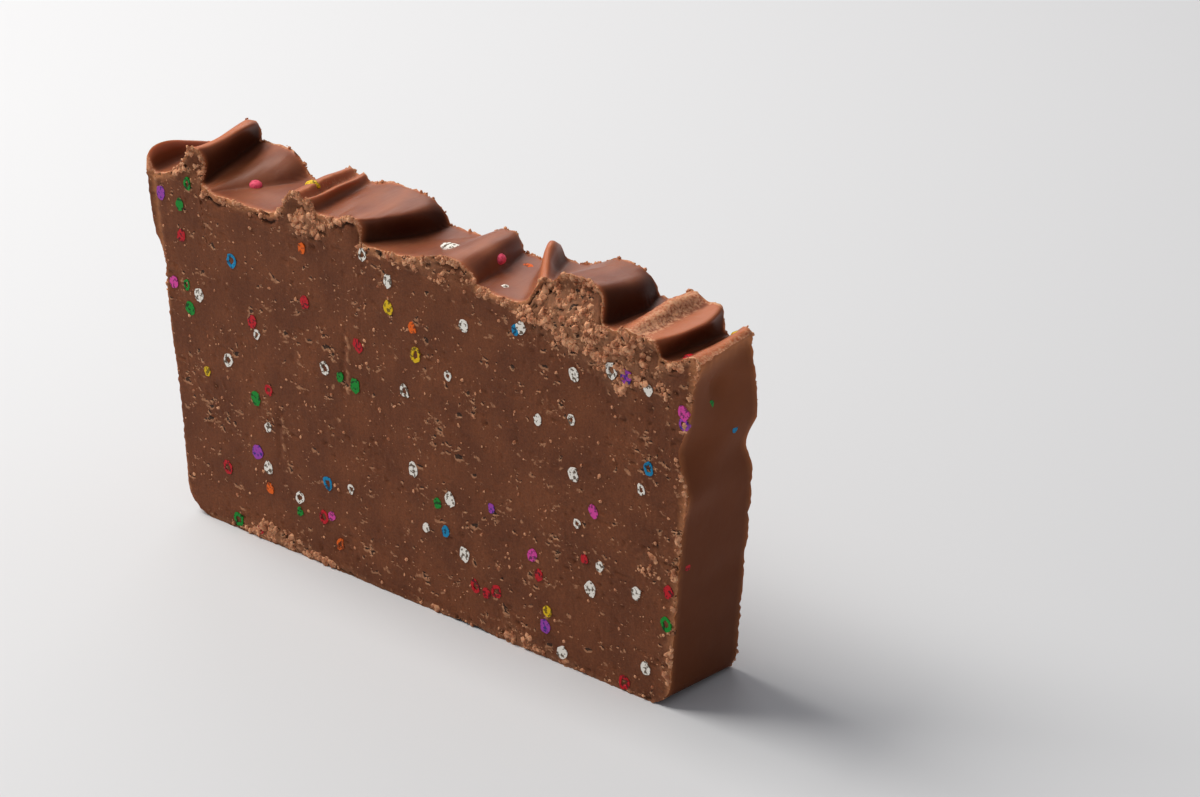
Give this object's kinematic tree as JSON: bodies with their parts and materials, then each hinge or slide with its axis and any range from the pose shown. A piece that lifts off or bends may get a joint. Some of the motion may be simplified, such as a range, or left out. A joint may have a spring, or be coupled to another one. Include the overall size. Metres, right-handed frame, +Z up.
{
  "type": "fudge slice",
  "caption": "Upright slice of chocolate fudge cut across a loaf pan, with a swirled uneven top, two flat cut faces and small candy sprinkles set into it.",
  "frame": {"origin": "centre of the base, at the level of the surface the slice stands on", "axes": "+X along the slice from its left pan-moulded end to its right one, +Y from the front cut face to the back cut face, +Z up"},
  "size_m": [0.134, 0.0206, 0.0775],
  "materials": {
    "fudge": "satin"
  },
  "bodies": {
    "root": {"fudge": "fudge"}
  },
  "joints": []
}
